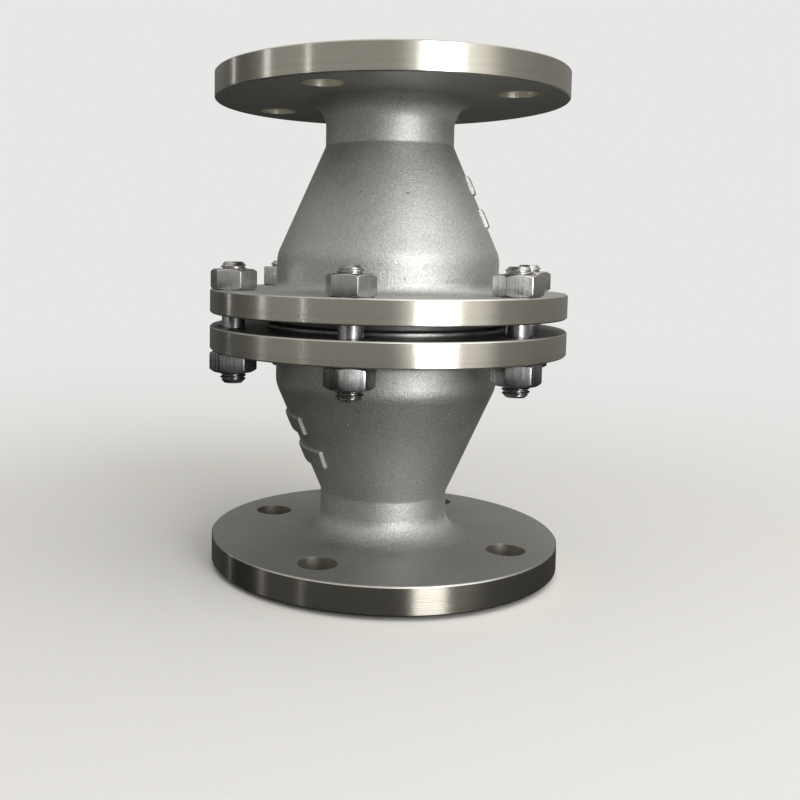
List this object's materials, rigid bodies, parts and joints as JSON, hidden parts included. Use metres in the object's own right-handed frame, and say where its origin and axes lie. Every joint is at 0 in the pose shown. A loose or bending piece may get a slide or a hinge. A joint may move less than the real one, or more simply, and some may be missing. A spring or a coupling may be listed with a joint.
{
  "type": "flame arrestor",
  "caption": "In-line flame arrestor: flanged stainless cone castings, bolted together by studs, clamp a wound crimped-ribbon element between the pipe ports.",
  "frame": {"origin": "centre of the lower pipe flange's raised face, on the surface the part stands on", "axes": "+Z along the pipe's axis, from the lower port to the upper port; +X through one of the joint's studs"},
  "size_m": [0.1694, 0.168, 0.233],
  "materials": {
    "cast_stainless": "blasted casting, rims turned",
    "gasket_black": "matte",
    "turned_stainless": "turned",
    "casing_stainless": "dull, darkened",
    "ribbon_stainless": "bright rolled strip",
    "fastener_stainless": "bright"
  },
  "bodies": {
    "root": {"upper_body": "cast_stainless", "lower_body": "cast_stainless", "upper_gasket": "gasket_black", "lower_gasket": "gasket_black", "element_casing": "casing_stainless", "winding_core": "turned_stainless", "flat_ribbon": "ribbon_stainless", "crimped_ribbon": "ribbon_stainless", "upper_grid": "turned_stainless", "lower_grid": "turned_stainless", "centre_rod": "fastener_stainless", "rod_nuts": "fastener_stainless", "studs": "fastener_stainless", "upper_nuts": "fastener_stainless", "lower_nuts": "fastener_stainless"}
  },
  "joints": []
}
